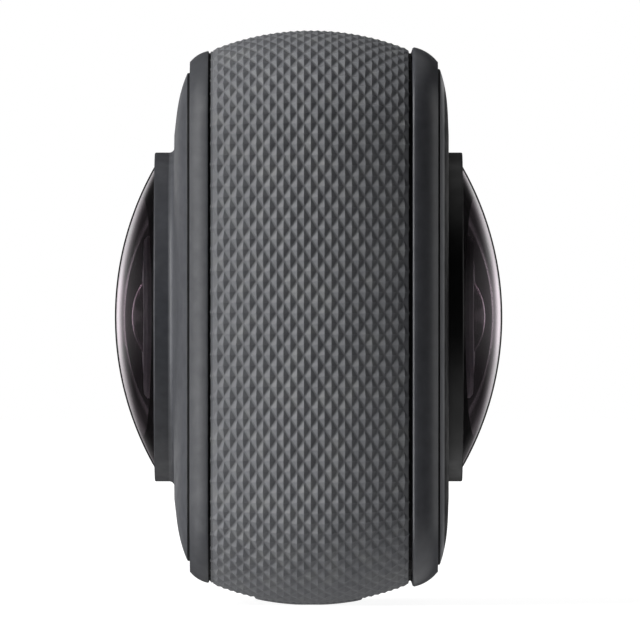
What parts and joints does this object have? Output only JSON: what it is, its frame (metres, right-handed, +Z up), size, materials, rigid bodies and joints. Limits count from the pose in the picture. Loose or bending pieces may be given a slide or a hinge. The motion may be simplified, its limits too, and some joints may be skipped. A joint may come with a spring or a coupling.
{
  "type": "360 degree camera",
  "caption": "Pocket 360 degree camera: fisheye lenses back to back in a rounded square body with a crowned knurled grip band, push buttons, a hinged port door and a tripod thread.",
  "frame": {"origin": "middle of the foot under the base plate, below the point half way between the lens tips", "axes": "+X along the lens axis from the front lens to the rear lens, +Y out of the control side, +Z up"},
  "size_m": [0.036, 0.053, 0.053],
  "materials": {
    "grip_rubber": "matte, diamond knurl",
    "frame_plastic": "moulded, fine grain",
    "ring_metal": "satin coat",
    "cover_metal": "satin coat",
    "bezel_metal": "satin black coat",
    "lens_glass": "coated optical glass",
    "optic_black": "dull black",
    "seal_rubber": "matte",
    "plate_aluminium": "milled",
    "board_laminate": "solder mask",
    "chip_plastic": "moulded",
    "ribbon": "film",
    "fastener_steel": "turned",
    "cell_foil": "foil",
    "panel_plastic": "moulded, fine grain",
    "button_plastic": "moulded, turned rings",
    "light_plastic": "clear frosted",
    "socket_steel": "drawn shell",
    "insert_steel": "turned, threaded"
  },
  "bodies": {
    "camera_body": {"grip_band": "grip_rubber", "mid_frame": "frame_plastic", "front_trim_ring": "ring_metal", "rear_trim_ring": "ring_metal", "front_cover": "cover_metal", "rear_cover": "cover_metal", "front_cover_gasket": "seal_rubber", "rear_cover_gasket": "seal_rubber", "front_lens_bezel": "bezel_metal", "rear_lens_bezel": "bezel_metal", "front_lens_dome": "lens_glass", "rear_lens_dome": "lens_glass", "front_lens_seal": "seal_rubber", "rear_lens_seal": "seal_rubber", "front_baffle": "optic_black", "rear_baffle": "optic_black", "front_lens_retainer": "optic_black", "rear_lens_retainer": "optic_black", "front_inner_lens": "lens_glass", "rear_inner_lens": "lens_glass", "front_relay_lens": "lens_glass", "rear_relay_lens": "lens_glass", "front_lens_barrel": "optic_black", "rear_lens_barrel": "optic_black", "front_lens_plate": "plate_aluminium", "rear_lens_plate": "plate_aluminium", "front_ir_filter": "lens_glass", "rear_ir_filter": "lens_glass", "front_image_sensor": "chip_plastic", "rear_image_sensor": "chip_plastic", "front_sensor_board": "board_laminate", "rear_sensor_board": "board_laminate", "front_sensor_flex": "ribbon", "rear_sensor_flex": "ribbon", "plate_screws": "fastener_steel", "flange_screws": "fastener_steel", "heat_spreader": "plate_aluminium", "thermal_pads": "seal_rubber", "battery_cell": "cell_foil", "battery_pad": "seal_rubber", "main_board": "board_laminate", "processor_chip": "chip_plastic", "board_screws": "fastener_steel", "switch_board": "board_laminate", "switch_flex": "ribbon", "shutter_switch": "fastener_steel", "power_switch": "fastener_steel", "microphones": "fastener_steel", "usb_socket": "socket_steel", "control_panel": "panel_plastic", "status_light_pipe": "light_plastic", "door_hinge_pin": "fastener_steel", "base_plate": "panel_plastic", "tripod_insert": "insert_steel", "base_plate_screws": "fastener_steel"},
    "shutter_button": {"shutter_button": "button_plastic"},
    "power_button": {"power_button": "button_plastic"},
    "port_door": {"port_door": "panel_plastic", "door_seal": "seal_rubber"}
  },
  "joints": [
    {"name": "shutter_press", "type": "slide", "parent": "camera_body", "child": "shutter_button", "axis": [0, -1, 0], "range_m": [0, 0.00035], "stiffness_N_per_m": 3000},
    {"name": "power_press", "type": "slide", "parent": "camera_body", "child": "power_button", "axis": [0, -1, 0], "range_m": [0, 0.00035], "stiffness_N_per_m": 3000},
    {"name": "port_door_hinge", "type": "hinge", "parent": "camera_body", "child": "port_door", "pos_m": [0, 0.0247, 0.0133], "axis": [-1, 0, 0], "range_deg": [0, 90]}
  ]
}
